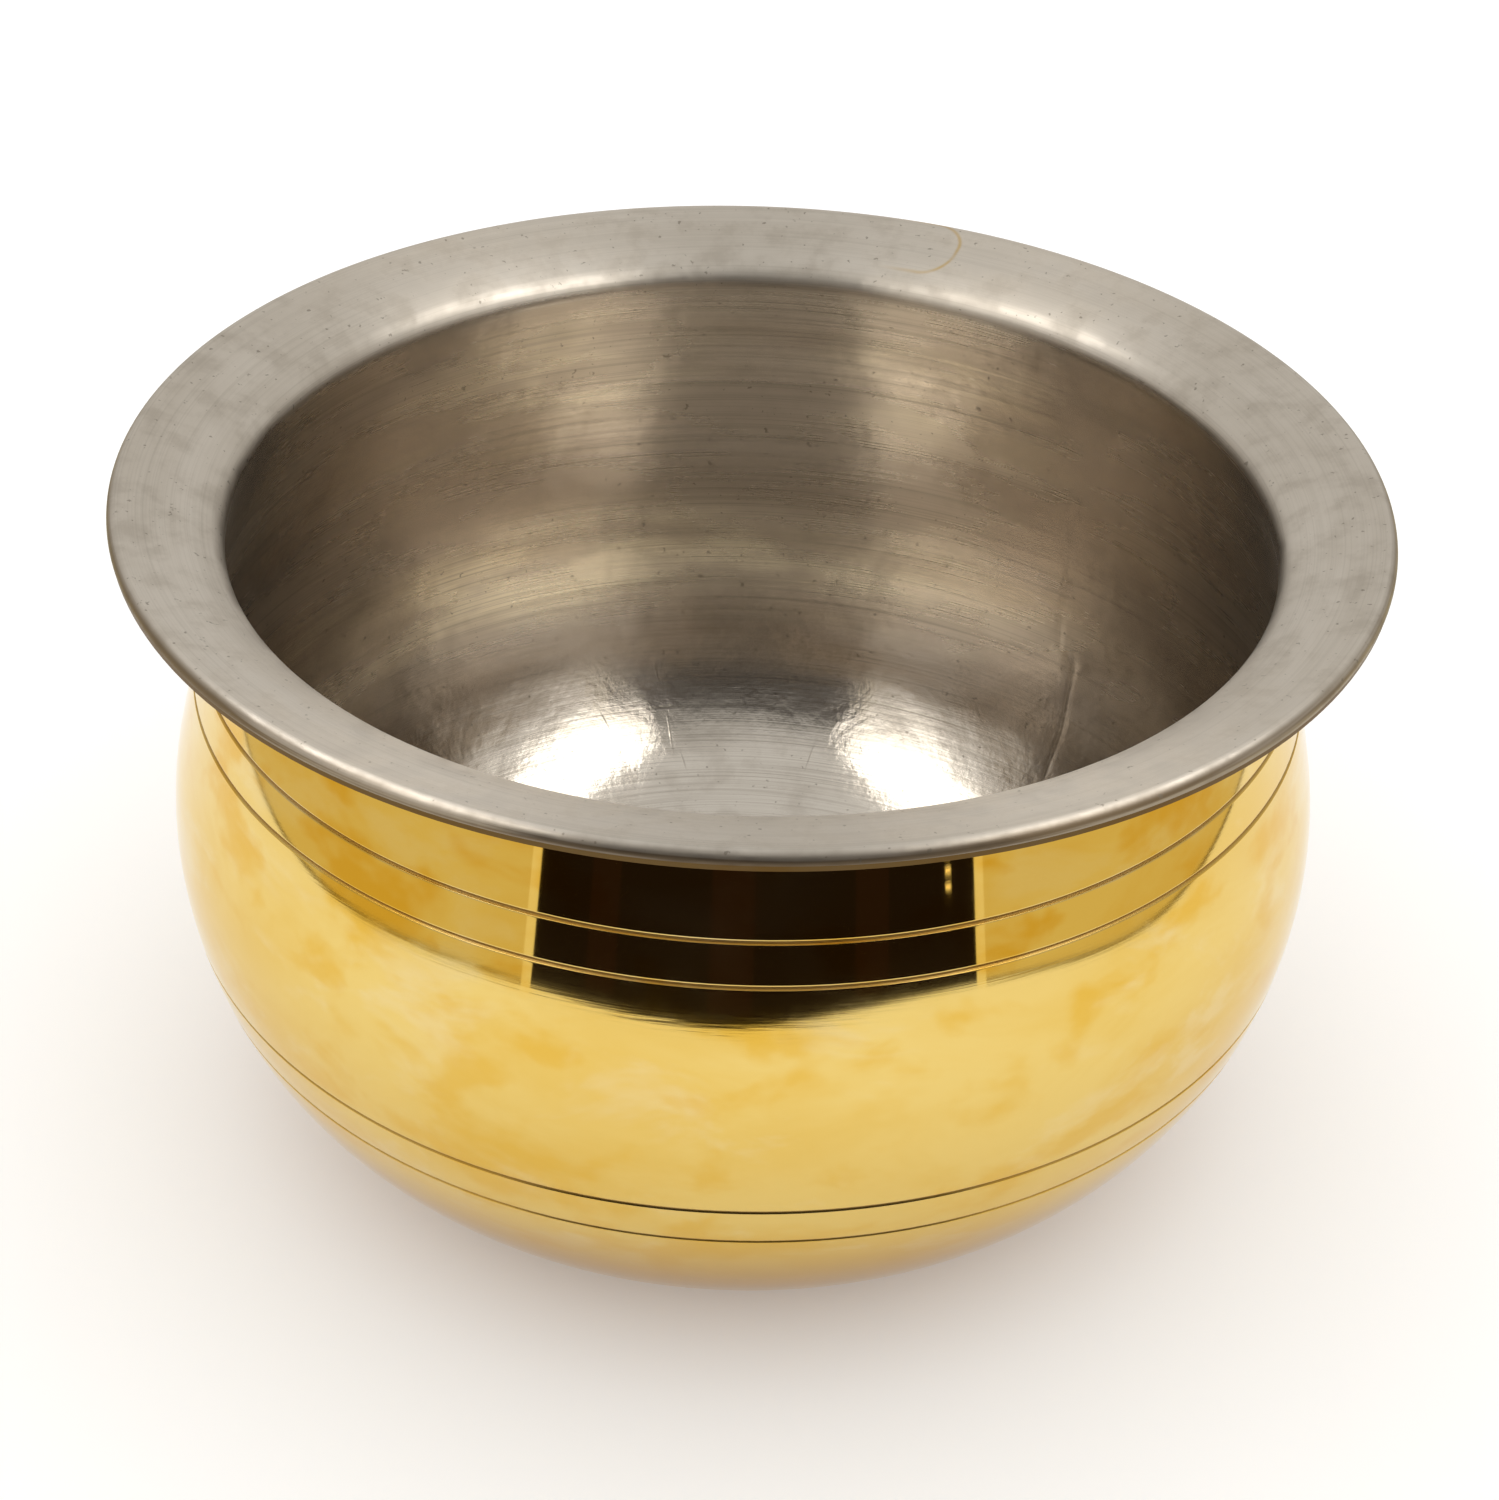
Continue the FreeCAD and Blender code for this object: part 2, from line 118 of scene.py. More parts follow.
def outer_section():
    """The outer face from the axis, under the base, up the wall and out to the lip's edge.

    Returns its points, their normals towards the inside, and how far along the inner face,
    which is the tin's, each of them is.
    """
    lip = np.array([RIM_RADIUS - LIP_ROLL, TOTAL_HEIGHT - LIP_ROLL])
    throat = np.array([THROAT_RADIUS + THROAT_ROLL, THROAT_HEIGHT])
    belly = np.array([BELLY_RADIUS - BELLY_ARC, BELLY_HEIGHT])
    corner_rise = CORNER_ARC - BELLY_HEIGHT
    corner_reach = math.sqrt((BELLY_ARC - CORNER_ARC) ** 2 - corner_rise ** 2)
    corner = belly + np.array([corner_reach, corner_rise])
    corner_angle = math.atan2(corner_rise, corner_reach)

    lip_arc = LIP_ROLL - WALL
    throat_arc = THROAT_ROLL - WALL
    flare_arc = FLARE_ARC - WALL
    flange_angle = math.pi / 2 + FLANGE_SLOPE
    flange_up = unit(flange_angle)
    flange_out = unit(FLANGE_SLOPE)
    under_lip = lip + flange_up * (lip_arc - flare_arc)
    from_throat = under_lip - throat
    slide = from_throat @ flange_out
    gap = from_throat @ from_throat - (flare_arc - throat_arc) ** 2
    flare = under_lip + flange_out * (math.sqrt(slide ** 2 - gap) - slide)
    flare_angle = math.atan2(throat[1] - flare[1], throat[0] - flare[0])

    to_throat = throat - belly
    bend = math.acos((BELLY_ARC + throat_arc) / math.hypot(*to_throat))
    neck_angle = math.atan2(to_throat[1], to_throat[0]) - bend
    neck_out = unit(neck_angle)

    edge = lip + np.array([lip_arc, 0.0])
    parts = [
        straight(np.array([0.0, 0.0]), np.array([corner[0], 0.0]), [0.0, 1.0]),
        arc(corner, CORNER_ARC, -math.pi / 2, corner_angle, -1),
        arc(belly, BELLY_ARC, corner_angle, neck_angle, -1),
        straight(belly + BELLY_ARC * neck_out, throat - throat_arc * neck_out, -neck_out),
        arc(throat, throat_arc, math.pi + neck_angle, flare_angle, 1),
        arc(flare, flare_arc, flare_angle, flange_angle, 1),
        straight(flare + flare_arc * flange_up, lip + lip_arc * flange_up, flange_up),
        arc(lip, lip_arc, flange_angle, 0.0, 1),
        straight(edge, edge - np.array([0.0, LIP_DROP]), [1.0, 0.0]),
    ]
    points = np.concatenate([p for p, _ in parts])
    inward = np.concatenate([n for _, n in parts])
    inner = points + WALL * inward
    steps = np.hypot(*np.diff(inner, axis=0).T)
    keep = np.concatenate([[True], steps > 1e-9])
    along = np.concatenate([[0.0], np.cumsum(steps)])
    return points[keep], inward[keep], along[keep]


OUTER, INWARD, ALONG = outer_section()
MIDDLE = OUTER + INWARD * WALL / 2
WIDEST = int(np.argmax(np.where(MIDDLE[:, 1] < 0.7 * TOTAL_HEIGHT, MIDDLE[:, 0], 0.0)))
NARROWEST = int(np.argmin(np.where(MIDDLE[:, 1] > 0.8 * TOTAL_HEIGHT, MIDDLE[:, 0], 1.0)))
HIGHEST = int(np.argmax(MIDDLE[:, 1]))
OUTERMOST = int(np.argmax(MIDDLE[NARROWEST:, 0] > RIM_RADIUS - WALL / 2 - 1e-6)) + NARROWEST


def along_at_foot_radius(radius):
    return np.interp(radius, MIDDLE[:WIDEST, 0], ALONG[:WIDEST])


def along_at_height(height):
    return np.interp(height, OUTER[:HIGHEST, 1], ALONG[:HIGHEST])


def along_at_rim_radius(radius):
    return np.interp(radius, MIDDLE[NARROWEST:OUTERMOST, 0], ALONG[NARROWEST:OUTERMOST])


def height_at(along):
    return np.interp(along, ALONG, OUTER[:, 1])


# Places along the section.
LIP_TOP = along_at_rim_radius(RIM_RADIUS - LIP_ROLL)
LIP_END = ALONG[-1]
TIN_END = LIP_END - (LIP_DROP - TIN_LAP)
GROOVES = [along_at_height(height) for height in GROOVE_HEIGHTS]

# ---------------------------------------------------------------- grids

BELLY_STEP = 1.6 * MM
NECK_STEP = 0.8 * MM
LIP_STEP = 0.35 * MM
ROUND_STEP = 2.0
PATCH_ROUND_STEP = 0.5
GROOVE_ROWS = 9

TIN_FLOOR_END = 70.0 * MM
TIN_FLOOR_STEP = 1.1 * MM
TIN_WALL_STEP = 0.85 * MM
TIN_NECK_STEP = 0.7 * MM
TIN_LIP_STEP = 0.3 * MM
TIN_BACK_WALL_STEP = 4.0 * MM
TIN_BACK_NECK_STEP = 1.0 * MM
TIN_ROUND_STEP = 1.5
MARK_ROUND_STEP = 0.4
SEAM_ROUND_STEP = 0.25


def subdivided(stops, step_at):
    """The stops, with even divisions between them no longer than step_at gives for each gap."""
    stops = np.sort(np.array(stops))
    stops = stops[np.concatenate([[True], np.diff(stops) > 1e-6])]
    pieces = []
    for start, end in zip(stops[:-1], stops[1:]):
        count = max(1, math.ceil((end - start) / step_at((start + end) / 2) - 1e-6))
        pieces.append(np.linspace(start, end, count, endpoint=False))
    return np.concatenate(pieces + [stops[-1:]])


def away(azimuth, centre):
    """Signed angle from centre to azimuth, from -180 to 180."""
    return (azimuth - centre + 180.0) % 360.0 - 180.0


def smooth_step(value, low, high):
    t = np.clip((value - low) / (high - low), 0.0, 1.0)
    return t * t * (3.0 - 2.0 * t)


def settled(points):
    """Small departures of the hand-made pot from a true turned shape."""
    x, y, z = points[..., 0], points[..., 1], points[..., 2]
    radius = np.hypot(x, y)
    rim = smooth_step(radius, THROAT_RADIUS, RIM_RADIUS) * smooth_step(z, 0.8 * TOTAL_HEIGHT, TOTAL_HEIGHT)
    lift = 0.5 * MM * np.maximum(0.0, -x / RIM_RADIUS) ** 2 * rim
    angle = np.arctan2(x, y)
    body = smooth_step(z, 10 * MM, 40 * MM) * (1.0 - rim)
    swell = (0.12 * MM * np.cos(2 * angle + 0.6) + 0.05 * MM * np.sin(5 * angle + z / (14 * MM))) * body
    scale = 1.0 + swell / np.maximum(radius, 10 * MM)
    return np.stack([x * scale, y * scale, z + lift], axis=-1)


def flush(along, azimuth):
    return np.zeros_like(along)


class Face:
    """A face of the pot at one depth under the outer one, with a relief raised towards the inside."""

    def __init__(self, depth, relief=flush):
        self.depth = depth
        self.relief = relief

    def points(self, along, azimuth):
        inward = np.stack([np.interp(along, ALONG, INWARD[:, k]) for k in (0, 1)], -1)
        outer = np.stack([np.interp(along, ALONG, OUTER[:, k]) for k in (0, 1)], -1)
        section = outer + inward * (self.depth + self.relief(along, azimuth))[..., None]
        turn = np.radians(azimuth)
        x = section[..., 0] * np.sin(turn)
        y = section[..., 0] * np.cos(turn)
        return settled(np.stack([x, y, section[..., 1]], -1))

    def normals(self, along, azimuth):
        """Unit normals pointing out of the pot; the first row is the axis."""
        reach = 0.05 * MM
        low = np.maximum(along - reach, 0.0)
        high = np.minimum(along + reach, LIP_END)
        up = self.points(high, azimuth) - self.points(low, azimuth)
        round_pot = self.points(along, azimuth + 0.05) - self.points(along, azimuth - 0.05)
        normals = np.cross(up, round_pot)
        normals[0] = (0.0, 0.0, -1.0)
        return normals / np.linalg.norm(normals, axis=-1, keepdims=True)


class Shell:
    """Quads gathered from numbered points, with a normal at every corner."""

    def __init__(self, points, along):
        self.points = points
        self.along = along
        self.faces = []
        self.normals = []

    def add(self, corners, normals=None):
        if normals is None:
            a, b, c, d = (self.points[corners[:, k]] for k in range(4))
            flat = np.cross(c - a, d - b)
            flat /= np.maximum(np.linalg.norm(flat, axis=1, keepdims=True), 1e-12)
            normals = np.repeat(flat[:, None], 4, axis=1)
        self.faces.append(corners)
        self.normals.append(normals)

    def build(self, name):
        faces = np.concatenate(self.faces)
        normals = np.concatenate(self.normals)
        used, faces = np.unique(faces, return_inverse=True)
        faces = faces.reshape(-1, 4)
        polygons = []
        corner_normals = []
        for face, corner in zip(faces.tolist(), normals):
            # a quad at the axis has two corners in one place, and keeps one of them
            kept = [k for k in range(4) if face[k] != face[k - 1]]
            polygons.append([face[k] for k in kept])
            corner_normals.extend(corner[k] for k in kept)
        mesh = bpy.data.meshes.new(name)
        mesh.from_pydata(self.points[used].tolist(), [], polygons)
        mesh.polygons.foreach_set("use_smooth", [True] * len(polygons))
        attribute = mesh.attributes.new("along", "FLOAT", "POINT")
        attribute.data.foreach_set("value", self.along[used].astype(np.float32))
        mesh.normals_split_custom_set(corner_normals)
        mesh.update()
        piece = bpy.data.objects.new(name, mesh)
        bpy.context.scene.collection.objects.link(piece)
        return piece


def cut_shell(cells, below, above, along, azimuth):
    """A closed shell over the chosen cells of a grid, between two faces of the pot."""
    rows, columns = along.shape
    number = np.arange(rows * columns).reshape(rows, columns)
    number[0] = number[0, 0]
    lower = np.concatenate([number, number[:, :1]], axis=1)
    upper = lower + rows * columns
    points = np.concatenate([face.points(along, azimuth).reshape(-1, 3) for face in (below, above)])
    shell = Shell(points, np.tile(along.reshape(-1), 2))
    outward = below.normals(along, azimuth).reshape(-1, 3)
    inward = -above.normals(along, azimuth).reshape(-1, 3)
    corner_normals = np.concatenate([outward, inward])

    def pick(mask, *corners):
        i, j = np.nonzero(mask)
        return np.stack([grid[i + di, j + dj] for grid, di, dj in corners], axis=1)

    outside = pick(cells, (lower, 0, 0), (lower, 1, 0), (lower, 1, 1), (lower, 0, 1))
    inside = pick(cells, (upper, 0, 1), (upper, 1, 1), (upper, 1, 0), (upper, 0, 0))
    shell.add(outside, corner_normals[outside])
    shell.add(inside, corner_normals[inside])
    empty = np.zeros((1, columns), bool)
    before = np.concatenate([empty, cells[:-1]])
    after = np.concatenate([cells[1:], empty])
    left = np.roll(cells, 1, axis=1)
    right = np.roll(cells, -1, axis=1)
    # the first row's lower edge is the axis, and needs no side
    first_row = np.arange(rows - 1)[:, None] == 0
    edges = [
        (~before & ~first_row, (0, 0), (0, 1)),
        (~after, (1, 1), (1, 0)),
        (~left, (1, 0), (0, 0)),
        (~right, (0, 1), (1, 1)),
    ]
    for open_side, start, end in edges:
        edge = pick(cells & open_side, (lower, *start), (lower, *end), (upper, *end), (upper, *start))
        shell.add(edge)
    return shell


# ---------------------------------------------------------------- brass pieces


def brass_rows():
    """Places along the section where the brass grid has a row, with one at every joint's edge."""
    gap = BRAZE_GAP
    stops = [0.0, LIP_TOP, LIP_END]
    stops += [along_at_foot_radius(r) for r in (FINGER_ROOT_RADIUS, FINGER_ROOT_RADIUS + gap)]
    stops += [along_at_foot_radius(r) for r in (FINGER_TIP_RADIUS, FINGER_TIP_RADIUS + gap)]
    for k in range(1, SEAM_TOOTH_COUNT):
        stops += [along_at_height(k * SEAM_TOOTH_PITCH), along_at_height(k * SEAM_TOOTH_PITCH + gap)]
    for groove in GROOVES:
        stops += list(groove + np.linspace(-1.2, 1.2, GROOVE_ROWS) * GROOVE_HALF_WIDTH)
    for reach in (PATCH_HALF_WIDTH, PATCH_HALF_WIDTH + gap):
        stops += [along_at_rim_radius(PATCH_RADIUS - reach), along_at_rim_radius(PATCH_RADIUS + reach)]

    def step(along):
        if along > LIP_TOP:
            return LIP_STEP
        return NECK_STEP if along > ALONG[NARROWEST] - 6 * MM else BELLY_STEP

    return subdivided(stops, step)


def brass_columns():
    """Azimuths where the brass grid has a column, with one at every joint's edge."""
    # The grid starts at a finger's edge, well away from the seam and the patch.
    start = FINGER_AZIMUTH - 10 * FINGER_PITCH - FINGER_HALF_ANGLE
    stops = [start, start + 360.0]

    def stop(azimuth):
        stops.append(start + (azimuth - start) % 360.0)

    for k in range(FINGER_COUNT):
        centre = FINGER_AZIMUTH + k * FINGER_PITCH
        for reach in (FINGER_HALF_ANGLE, FINGER_HALF_ANGLE + FINGER_GAP_ANGLE):
            stop(centre - reach)
            stop(centre + reach)
    for side in (-1, 1):
        for reach in (-0.5, 0.5):
            offset = side * SEAM_HALF_OFFSET + reach * BRAZE_GAP
            stop(SEAM_AZIMUTH + math.degrees(offset / SEAM_RADIUS))
        for reach in (PATCH_HALF_LENGTH, PATCH_HALF_LENGTH + BRAZE_GAP):
            stop(PATCH_AZIMUTH + side * math.degrees(reach / PATCH_RADIUS))

    def step(azimuth):
        return PATCH_ROUND_STEP if abs(away(azimuth, PATCH_AZIMUTH)) < 8.0 else ROUND_STEP

    return subdivided(stops, step)[:-1]


def round_patch(along, azimuth):
    """Bends grid lines near the rim patch so that they follow its rounded corners."""
    radius = np.interp(along, ALONG, MIDDLE[:, 0])
    x = np.radians(away(azimuth, PATCH_AZIMUTH)) * PATCH_RADIUS
    y = radius - PATCH_RADIUS
    level = np.maximum(abs(x) - PATCH_HALF_LENGTH, abs(y) - PATCH_HALF_WIDTH)
    corner_x = abs(x) - (PATCH_HALF_LENGTH - PATCH_CORNER)
    corner_y = abs(y) - (PATCH_HALF_WIDTH - PATCH_CORNER)
    in_corner = (corner_x > 0) & (corner_y > 0) & (along > ALONG[NARROWEST])
    fade = np.clip((1.7 * BRAZE_GAP - level) / (0.7 * BRAZE_GAP), 0.0, 1.0)
    shrink = np.maximum(corner_x, corner_y) / np.maximum(np.hypot(corner_x, corner_y), 1e-9) - 1.0
    move = np.where(in_corner, fade * shrink, 0.0)
    new_azimuth = azimuth + np.degrees(np.sign(x) * corner_x * move / PATCH_RADIUS)
    moved = in_corner & (fade > 0)
    new_along = np.where(moved, along_at_rim_radius(radius + np.sign(y) * corner_y * move), along)
    return new_along, new_azimuth


def groove_relief(along, azimuth):
    depth = np.zeros_like(along)
    for groove in GROOVES:
        reach = np.clip(abs(along - groove) / GROOVE_HALF_WIDTH, 0.0, 1.0)
        depth += GROOVE_DEPTH * 0.5 * (1.0 + np.cos(math.pi * reach))
    return depth


def brass_pieces():
    """Every cell of one grid goes to one piece, so the pieces meet without gaps."""
    rows = brass_rows()
    columns = brass_columns()
    along, azimuth = np.meshgrid(rows, columns, indexing="ij")
    bent_along, bent_azimuth = round_patch(along, azimuth)
    below = Face(0.0, groove_relief)
    above = Face(BRASS_GAUGE)

    row = (rows[:-1] + rows[1:])[:, None] / 2
    column = ((columns + np.append(columns[1:], columns[0] + 360.0)) / 2)[None, :]
    radius = np.interp(row, ALONG, MIDDLE[:, 0])
    height = height_at(row)
    foot = row < ALONG[WIDEST]
    finger = abs((column - FINGER_AZIMUTH + FINGER_PITCH / 2) % FINGER_PITCH - FINGER_PITCH / 2)
    fingers = (radius < FINGER_TIP_RADIUS) & (finger < FINGER_HALF_ANGLE)
    base = foot & ((radius < FINGER_ROOT_RADIUS) | fingers)
    beds = (radius < FINGER_TIP_RADIUS + BRAZE_GAP) & (finger < FINGER_HALF_ANGLE + FINGER_GAP_ANGLE)
    base_braze = foot & ((radius < FINGER_ROOT_RADIUS + BRAZE_GAP) | beds) & ~base
    ring = ~base & ~base_braze

    patch_x = abs(np.radians(away(column, PATCH_AZIMUTH))) * PATCH_RADIUS
    patch_y = abs(radius - PATCH_RADIUS)
    flange = row > ALONG[NARROWEST]
    patch = flange & (patch_x < PATCH_HALF_LENGTH) & (patch_y < PATCH_HALF_WIDTH)
    patch_bed = (patch_x < PATCH_HALF_LENGTH + BRAZE_GAP) & (patch_y < PATCH_HALF_WIDTH + BRAZE_GAP)
    patch_braze = flange & patch_bed & ~patch

    across = np.radians(away(column, SEAM_AZIMUTH)) * SEAM_RADIUS
    tooth = np.floor(height / SEAM_TOOTH_PITCH)
    side = np.where(tooth % 2 == 0, -1.0, 1.0)
    run = abs(across - side * SEAM_HALF_OFFSET) < BRAZE_GAP / 2
    step = (height - tooth * SEAM_TOOTH_PITCH < BRAZE_GAP) & (abs(across) < SEAM_HALF_OFFSET + BRAZE_GAP / 2)
    rising = row < ALONG[HIGHEST]
    seam = ring & (run | (step & (tooth > 0) & rising))

    chosen = {
        "base_pan": base,
        "base_seam_braze": base_braze,
        "wall_sheet": ring & ~seam & ~patch & ~patch_braze,
        "wall_seam_braze": seam,
        "rim_patch": patch,
        "rim_patch_braze": patch_braze,
    }
    pieces = {}
    for node, cells in chosen.items():
        shell = cut_shell(cells, below, above, bent_along, bent_azimuth)
        pieces[node] = shell.build("brass_" + node)
    return pieces


# ---------------------------------------------------------------- tin lining

# Where the wall seam shows through the tin, as heights and azimuths from the base upwards.
SEAM_MARK_HEIGHTS = np.array([12.0, 19.9, 24.1, 28.5, 34.4, 40.2, 40.9, 49.5, 50.9, 67.6, 84.5, 102.4]) * MM
SEAM_MARK_AZIMUTHS = np.array([43.6, 43.5, 43.2, 43.0, 42.2, 41.8, 39.2, 38.4, 38.9, 38.3, 39.7, 40.7])
SEAM_MARK_RADIUS = 88 * MM

# Short marks in the tin over the edges of the base's fingers, as the height in millimetres and
# the azimuth of both ends.
TOOL_MARKS = [
    ((26.7, -12.2), (23.1, -11.7)),
    ((19.5, -11.0), (12.4, -10.6)),
    ((13.3, -9.5), (10.7, -8.8)),
    ((15.5, 10.0), (11.0, 9.0)),
    ((21.0, -20.5), (16.5, -19.0)),
]


def tin_rows():
    neck = along_at_height(UPPER_NECK)
    lip = LIP_TOP - 2 * MM
    stops = [0.0, TIN_FLOOR_END, neck, ALONG[NARROWEST] + 4 * MM, lip, TIN_END]

    def step(along):
        if along > lip:
            return TIN_LIP_STEP
        if along > neck:
            return TIN_NECK_STEP
        return TIN_FLOOR_STEP if along < TIN_FLOOR_END else TIN_WALL_STEP

    return subdivided(stops, step)


def tin_columns():
    """Azimuths of the tin's grid, closer together at the finger marks, the patch's end and the seam."""
    marks = (-15.0, -6.0)
    patch_end = (12.0, 24.0)
    seam = (36.0, 46.0)
    stops = [-180.0, *marks, *patch_end, *seam, 180.0]

    def step(azimuth):
        if seam[0] < azimuth < seam[1]:
            return SEAM_ROUND_STEP
        if marks[0] < azimuth < marks[1] or patch_end[0] < azimuth < patch_end[1]:
            return MARK_ROUND_STEP
        return TIN_ROUND_STEP

    return subdivided(stops, step)[:-1]


def tin_relief(along, azimuth):
    """How far the wiped tin stands above its mean face, in metres."""
    height = height_at(along)
    line = np.interp(height, SEAM_MARK_HEIGHTS, SEAM_MARK_AZIMUTHS)
    across = np.radians(away(azimuth, line)) * SEAM_MARK_RADIUS
    strength = 0.008 + 0.027 * smooth_step(-height, -52 * MM, -36 * MM)
    ridge = strength * MM * np.exp(-(across / (0.75 * MM)) ** 2) * smooth_step(height, 18 * MM, 22 * MM)
    angle = np.radians(azimuth)
    ripple = 0.045 * MM * np.sin(along / (3.1 * MM) + 0.8 * np.sin(2 * angle + 1.0))
    ripple += 0.03 * MM * np.sin(along / (1.7 * MM) + 1.3 * np.sin(3 * angle))
    wall = smooth_step(along, TIN_FLOOR_END, 100 * MM) * smooth_step(-height, -104 * MM, -98 * MM)
    ripple *= 0.25 + 0.75 * wall
    return ridge + ripple * smooth_step(along, 5 * MM, 20 * MM)


def tin_piece():
    rows = tin_rows()
    columns = tin_columns()
    along, azimuth = np.meshgrid(rows, columns, indexing="ij")
    face = Face(WALL, tin_relief)
    neck = along_at_height(UPPER_NECK)

    def back_step(along):
        return TIN_BACK_NECK_STEP if along > neck else TIN_BACK_WALL_STEP

    back_rows = subdivided([0.0, neck, LIP_TOP, TIN_END], back_step)
    back_along, back_azimuth = np.meshgrid(back_rows, columns, indexing="ij")
    back = Face(BRASS_GAUGE)
    front_points = face.points(along, azimuth).reshape(-1, 3)
    back_points = back.points(back_along, back_azimuth).reshape(-1, 3)
    shell = Shell(
        np.concatenate([front_points, back_points]),
        np.concatenate([along.reshape(-1), back_along.reshape(-1)]),
    )
    normals = np.concatenate([
        -face.normals(along, azimuth).reshape(-1, 3),
        back.normals(back_along, back_azimuth).reshape(-1, 3),
    ])

    def numbered(row_count, first):
        number = np.arange(row_count * len(columns)).reshape(row_count, len(columns)) + first
        number[0] = number[0, 0]
        return np.concatenate([number, number[:, :1]], axis=1)

    top = numbered(len(rows), 0)
    under = numbered(len(back_rows), along.size)
    quads = np.stack([top[:-1, 1:], top[1:, 1:], top[1:, :-1], top[:-1, :-1]], -1).reshape(-1, 4)
    shell.add(quads, normals[quads])
    quads = np.stack([under[:-1, :-1], under[1:, :-1], under[1:, 1:], under[:-1, 1:]], -1).reshape(-1, 4)
    shell.add(quads, normals[quads])
    shell.add(np.stack([under[-1, 1:], under[-1, :-1], top[-1, :-1], top[-1, 1:]], -1))
    return shell.build("tin_coat")


# ---------------------------------------------------------------- materials


class Graph:
    """A material's node tree, in millimetres. Arguments are numbers, tuples or nodes' outputs."""

    def __init__(self, name):
        self.material = bpy.data.materials.new(name)
        self.material.use_nodes = True
        self.tree = self.material.node_tree
        self.shader = self.tree.nodes["Principled BSDF"]
        position = self.node("ShaderNodeTexCoord").outputs["Object"]
        scaled = self.node("ShaderNodeVectorMath", operation="SCALE")
        self.put(scaled.inputs[0], position)
        scaled.inputs["Scale"].default_value = 1000.0
        split = self.node("ShaderNodeSeparateXYZ")
        self.place = scaled.outputs[0]
        self.put(split.inputs[0], self.place)
        self.x, self.y, self.z = split.outputs
        along = self.node("ShaderNodeAttribute", attribute_name="along")
        self.along = self.math("MULTIPLY", along.outputs["Fac"], 1000.0)
        squares = [self.math("POWER", across, 2.0) for across in (self.x, self.y)]
        self.radius = self.math("SQRT", self.add(*squares))
        self.azimuth = self.math("MULTIPLY", self.math("ARCTAN2", self.x, self.y), 180.0 / math.pi)

    def node(self, kind, **settings):
        made = self.tree.nodes.new(kind)
        for key, value in settings.items():
            setattr(made, key, value)
        return made

    def put(self, socket, value):
        if isinstance(value, bpy.types.NodeSocket):
            self.tree.links.new(value, socket)
        elif isinstance(value, tuple) and len(value) == 3 and socket.type == "RGBA":
            socket.default_value = (*value, 1.0)
        else:
            socket.default_value = value

    def math(self, operation, a, b=0.0, clamp=False):
        made = self.node("ShaderNodeMath", operation=operation, use_clamp=clamp)
        self.put(made.inputs[0], a)
        self.put(made.inputs[1], b)
        return made.outputs[0]

    def add(self, a, b):
        return self.math("ADD", a, b)

    def times(self, a, b):
        return self.math("MULTIPLY", a, b)

    def step(self, value, low, high, bottom=0.0, top=1.0):
        made = self.node("ShaderNodeMapRange", interpolation_type="SMOOTHSTEP")
        for socket, given in zip(made.inputs[:5], (value, low, high, bottom, top)):
            self.put(socket, given)
        return made.outputs[0]

    def near(self, value, centre, reach):
        """One at centre, falling smoothly to nothing at reach either side of it."""
        return self.step(self.math("ABSOLUTE", self.math("SUBTRACT", value, centre)), 0.0, reach, 1.0, 0.0)

    def vector(self, x, y, z):
        made = self.node("ShaderNodeCombineXYZ")
        for socket, given in zip(made.inputs, (x, y, z)):
            self.put(socket, given)
        return made.outputs[0]

    def noise(self, vector, scale=1.0, detail=2.0, rough=0.5, warp=0.0):
        made = self.node("ShaderNodeTexNoise")
        self.put(made.inputs["Vector"], vector)
        made.inputs["Scale"].default_value = scale
        made.inputs["Detail"].default_value = detail
        made.inputs["Roughness"].default_value = rough
        made.inputs["Distortion"].default_value = warp
        return made.outputs["Fac"]

    def round_noise(self, length, width, detail=2.0, rough=0.5, seed=0.0, warp=0.0):
        """Noise drawn out round the pot: length millimetres that way, width across it."""
        vector = self.vector(
            self.add(self.times(self.x, 1.0 / length), seed),
            self.times(self.y, 1.0 / length),
            self.times(self.along, 1.0 / width),
        )
        return self.noise(vector, 1.0, detail, rough, warp)

    def mix(self, factor, a, b):
        made = self.node("ShaderNodeMix", data_type="RGBA")
        self.put(made.inputs["Factor"], factor)
        self.put(made.inputs[6], a)
        self.put(made.inputs[7], b)
        return made.outputs[2]

    def bump(self, height, distance, normal=None):
        made = self.node("ShaderNodeBump")
        made.inputs["Strength"].default_value = 1.0
        made.inputs["Distance"].default_value = distance
        self.put(made.inputs["Height"], height)
        if normal is not None:
            self.put(made.inputs["Normal"], normal)
        return made.outputs[0]

    def finish(self, color, roughness, normal, anisotropy=0.0):
        self.put(self.shader.inputs["Base Color"], color)
        self.put(self.shader.inputs["Roughness"], roughness)
        self.put(self.shader.inputs["Normal"], normal)
        self.shader.inputs["Metallic"].default_value = 1.0
        if anisotropy:
            self.shader.inputs["Anisotropic"].default_value = anisotropy
            self.shader.inputs["Anisotropic Rotation"].default_value = 0.25
            tangent = self.node("ShaderNodeTangent", direction_type="RADIAL", axis="Z")
            self.put(self.shader.inputs["Tangent"], tangent.outputs[0])
        return self.material


YELLOW_BRASS = (0.76, 0.550, 0.170)
DEEP_BRASS = (0.73, 0.495, 0.12)
HAZY_BRASS = (0.77, 0.62, 0.33)
TARNISHED_BRASS = (0.70, 0.41, 0.04)
# painted shade for the foot, which reflects the shadowed floor under the pot
PAINTED_FOOT_SHADE = (0.48, 0.27, 0.045)
GROOVE_BROWN = (0.27, 0.13, 0.03)
EDGE_BROWN = (0.10, 0.055, 0.022)
BRAZE = (0.76, 0.56, 0.20)
DARK_BRAZE = (0.66, 0.45, 0.12)

